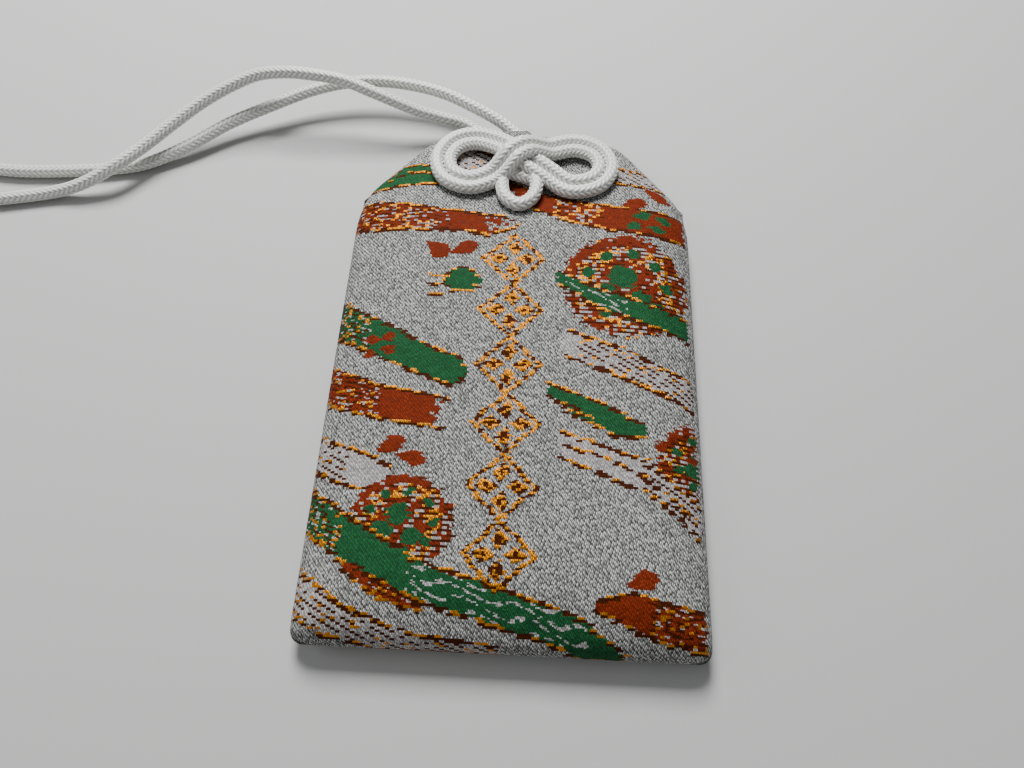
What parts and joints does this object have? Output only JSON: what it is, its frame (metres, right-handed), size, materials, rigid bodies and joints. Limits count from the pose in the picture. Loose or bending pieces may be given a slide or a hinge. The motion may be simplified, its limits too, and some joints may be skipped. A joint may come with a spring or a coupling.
{
  "type": "omamori charm",
  "caption": "Flat brocade charm pouch with shouldered top, a paper-wrapped talisman inside and a white braided cord tied in a bow knot that carries on as a strap loop.",
  "frame": {"origin": "centre of the pouch's outline on the surface that its back lies on", "axes": "+X to the pouch's right, +Y to its mouth, +Z out of its front"},
  "size_m": [0.1187, 0.0807, 0.0096],
  "materials": {
    "brocade": "silver-white satin brocade with orange, green and gold woven motifs",
    "lining": "thin white lining cloth",
    "thread": "white sewing thread",
    "card": "grey-brown stiffening card",
    "paper": "folded white handmade paper",
    "slip_wood": "thin planed cypress slip",
    "cord": "white braided polyester cord"
  },
  "bodies": {
    "bag": {"front_panel": "brocade", "back_panel": "brocade", "front_lining": "lining", "back_lining": "lining", "left_seam": "thread", "right_seam": "thread", "bottom_seam": "thread", "core_card": "card", "left_ear": "cord", "right_ear": "cord", "knot_centre": "cord", "drop_loop": "cord", "left_lead": "cord", "right_lead": "cord"},
    "talisman": {"slip_wrapper": "paper", "talisman_slip": "slip_wood"},
    "strap": {"strap_loop": "cord"}
  },
  "joints": [
    {"name": "strap_swing", "type": "hinge", "parent": "bag", "child": "strap", "pos_m": [-0.0037, 0.036, 0.00225], "axis": [0, 1, 0], "range_deg": [0, 135]},
    {"name": "talisman_slide", "type": "slide", "parent": "bag", "child": "talisman", "axis": [0, 1, 0], "range_m": [0, 0.006]}
  ]
}
